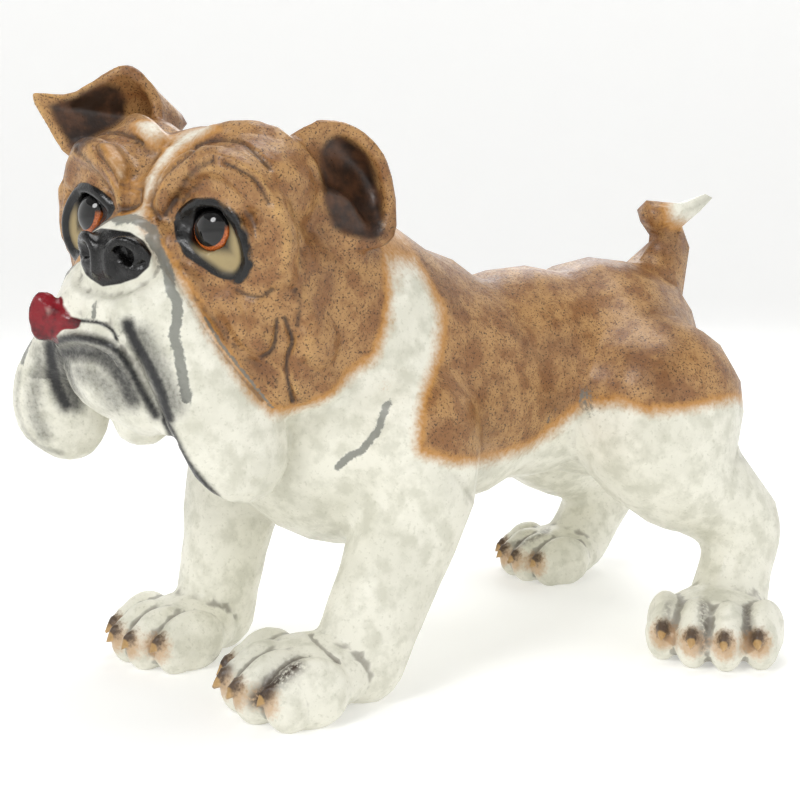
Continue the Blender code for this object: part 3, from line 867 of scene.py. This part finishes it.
def eye_place(side):
    look = Euler((math.radians(-90 + EYE_UP), 0, -side * math.radians(EYE_OUT))).to_matrix().to_4x4()
    place = HEAD @ Matrix.Translation((side * PUPIL[0], *PUPIL[1:])) @ look
    return Matrix.Translation(place.translation) @ place.to_3x3().normalized().to_4x4()


def chain(points):
    """The edges that join points in a row."""
    return [(k, k + 1) for k in range(len(points) - 1)]


def glass_eye(name, side):
    """A turned dome with a painted ring under the glass."""
    curve = (EYE_RADIUS**2 + EYE_DOME**2) / (2 * EYE_DOME)
    rim = math.asin(EYE_RADIUS / curve)
    arc = [rim * k / 14 for k in range(15)]
    dome = [(curve * math.sin(a), EYE_DOME - curve * (1 - math.cos(a))) for a in arc]
    profile = [*dome, (EYE_RADIUS, -EYE_DEPTH), (0, -EYE_DEPTH)]
    mesh = bpy.data.meshes.new(name)
    mesh.from_pydata([(r, 0, z) for r, z in profile], chain(profile), [])
    obj = shown(name, mesh)
    screw = obj.modifiers.new("turn", "SCREW")
    screw.steps = screw.render_steps = 64
    screw.use_merge_vertices = True
    screw.merge_threshold = 1e-5
    mesh = evaluated(obj)
    points = coordinates(mesh)
    store(mesh, "out", np.linalg.norm(points[:, :2], axis=1) / MM)
    world = moved(points, eye_place(side))
    up = moved(world, HEAD.inverted())[:, 2] - PUPIL[2]
    store(mesh, "up", up)
    mesh.transform(eye_place(side))
    obj = shown(name, mesh)
    obj.data.shade_smooth()
    return obj


def eye_paint():
    p = Palette("polished_glass_over_iris")
    fine = p.noise(900, 3)
    out = p.value("out")
    ring = p.math("MULTIPLY", p.step(out, 9.6, 10.3), p.step(p.value("up"), 3.5, -1.0))
    iris = p.mix(p.step(fine, 0.35, 0.65), IRIS_LIGHT, IRIS_DARK)
    colour = p.mix(ring, PUPIL_BLACK, iris)
    p.give(p.shader.inputs["Base Color"], colour)
    p.shader.inputs["Specular IOR Level"].default_value = 0.1
    p.shader.inputs["Roughness"].default_value = 0.12
    p.shader.inputs["Coat Weight"].default_value = 1.0
    p.shader.inputs["Coat Roughness"].default_value = 0.03
    return p.material


def wear(obj, material):
    obj.data.materials.clear()
    obj.data.materials.append(material)
    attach(obj, "root")


def statue():
    mesh = fused_skin()
    tree = tree_of(mesh)
    press(mesh, tree, HEAD_ROLLS, HEAD)
    press(mesh, tree, HEAD_CREASES, HEAD)
    press(mesh, tree, BODY_CREASES, BODY)
    grain(mesh)
    mesh = light_skin(mesh)
    stand(mesh)
    mark_skin(mesh)
    mesh.shade_smooth()
    obj = shown("painted_cast", mesh)
    wear(obj, resin_paint())
    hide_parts("statue")


def eyes():
    glass = eye_paint()
    for name, side in (("left", 1), ("right", -1)):
        eye = glass_eye(name + "_glass_eye", side)
        wear(eye, glass)
        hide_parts(name + "_eye")


FLOOR_FLAT = 2.6  # radius of the flat floor
FLOOR_BEND = 1.2
WALL_HEIGHT = 3.0
LAMPS_AIM = (0, 0, 0.18)


def studio():
    bend = np.linspace(0, math.pi / 2, 12)
    lip = [(FLOOR_FLAT + FLOOR_BEND * math.sin(a), FLOOR_BEND * (1 - math.cos(a))) for a in bend]
    profile = [(0, 0), *lip, (FLOOR_FLAT + FLOOR_BEND, WALL_HEIGHT)]
    mesh = bpy.data.meshes.new("floor")
    mesh.from_pydata([(r, 0, z) for r, z in profile], chain(profile), [])
    floor = shown("studio_floor", mesh)
    turn = floor.modifiers.new("turn", "SCREW")
    turn.steps = turn.render_steps = 96
    turn.use_smooth_shade = True
    pale = bpy.data.materials.new("pale_floor")
    pale.use_nodes = True
    shader = pale.node_tree.nodes["Principled BSDF"]
    shader.inputs["Base Color"].default_value = (0.86, 0.86, 0.85, 1)
    shader.inputs["Roughness"].default_value = 0.9
    shader.inputs["Emission Color"].default_value = (1, 1, 1, 1)
    shader.inputs["Emission Strength"].default_value = 0.3
    floor.data.materials.append(pale)


def softbox(name, at, size, power):
    light = bpy.data.lights.new(name, "AREA")
    light.shape = "DISK"
    light.size = size
    light.energy = power
    obj = bpy.data.objects.new(name, light)
    bpy.context.scene.collection.objects.link(obj)
    obj.location = at
    obj.rotation_euler = (Vector(LAMPS_AIM) - Vector(at)).to_track_quat("-Z", "Y").to_euler()
    obj.visible_camera = False


def lighting():
    softbox("key", (0.7, -1.7, 1.8), 0.8, 17)
    softbox("fill", (2.0, 0.3, 1.2), 1.2, 3)
    softbox("top", (-0.3, 0.3, 2.1), 1.2, 15)
    softbox("back", (-1.6, 1.2, 1.4), 1.2, 8)
    world = bpy.data.worlds.new("studio")
    bpy.context.scene.world = world
    world.use_nodes = True
    world.node_tree.nodes["Background"].inputs["Color"].default_value = (1, 1, 1, 1)
    world.node_tree.nodes["Background"].inputs["Strength"].default_value = 0.28


def camera():
    data = bpy.data.cameras.new("photo_camera")
    data.sensor_width = SENSOR
    data.lens = SENSOR * FOCUS / IMAGE
    obj = bpy.data.objects.new("photo_camera", data)
    bpy.context.scene.collection.objects.link(obj)
    obj.location = CAMERA_AT
    obj.rotation_euler = Vector(AHEAD).to_track_quat("-Z", "Y").to_euler()
    bpy.context.scene.camera = obj
    bpy.context.scene.view_settings.view_transform = "Standard"


camera()
statue()
eyes()
studio()
lighting()
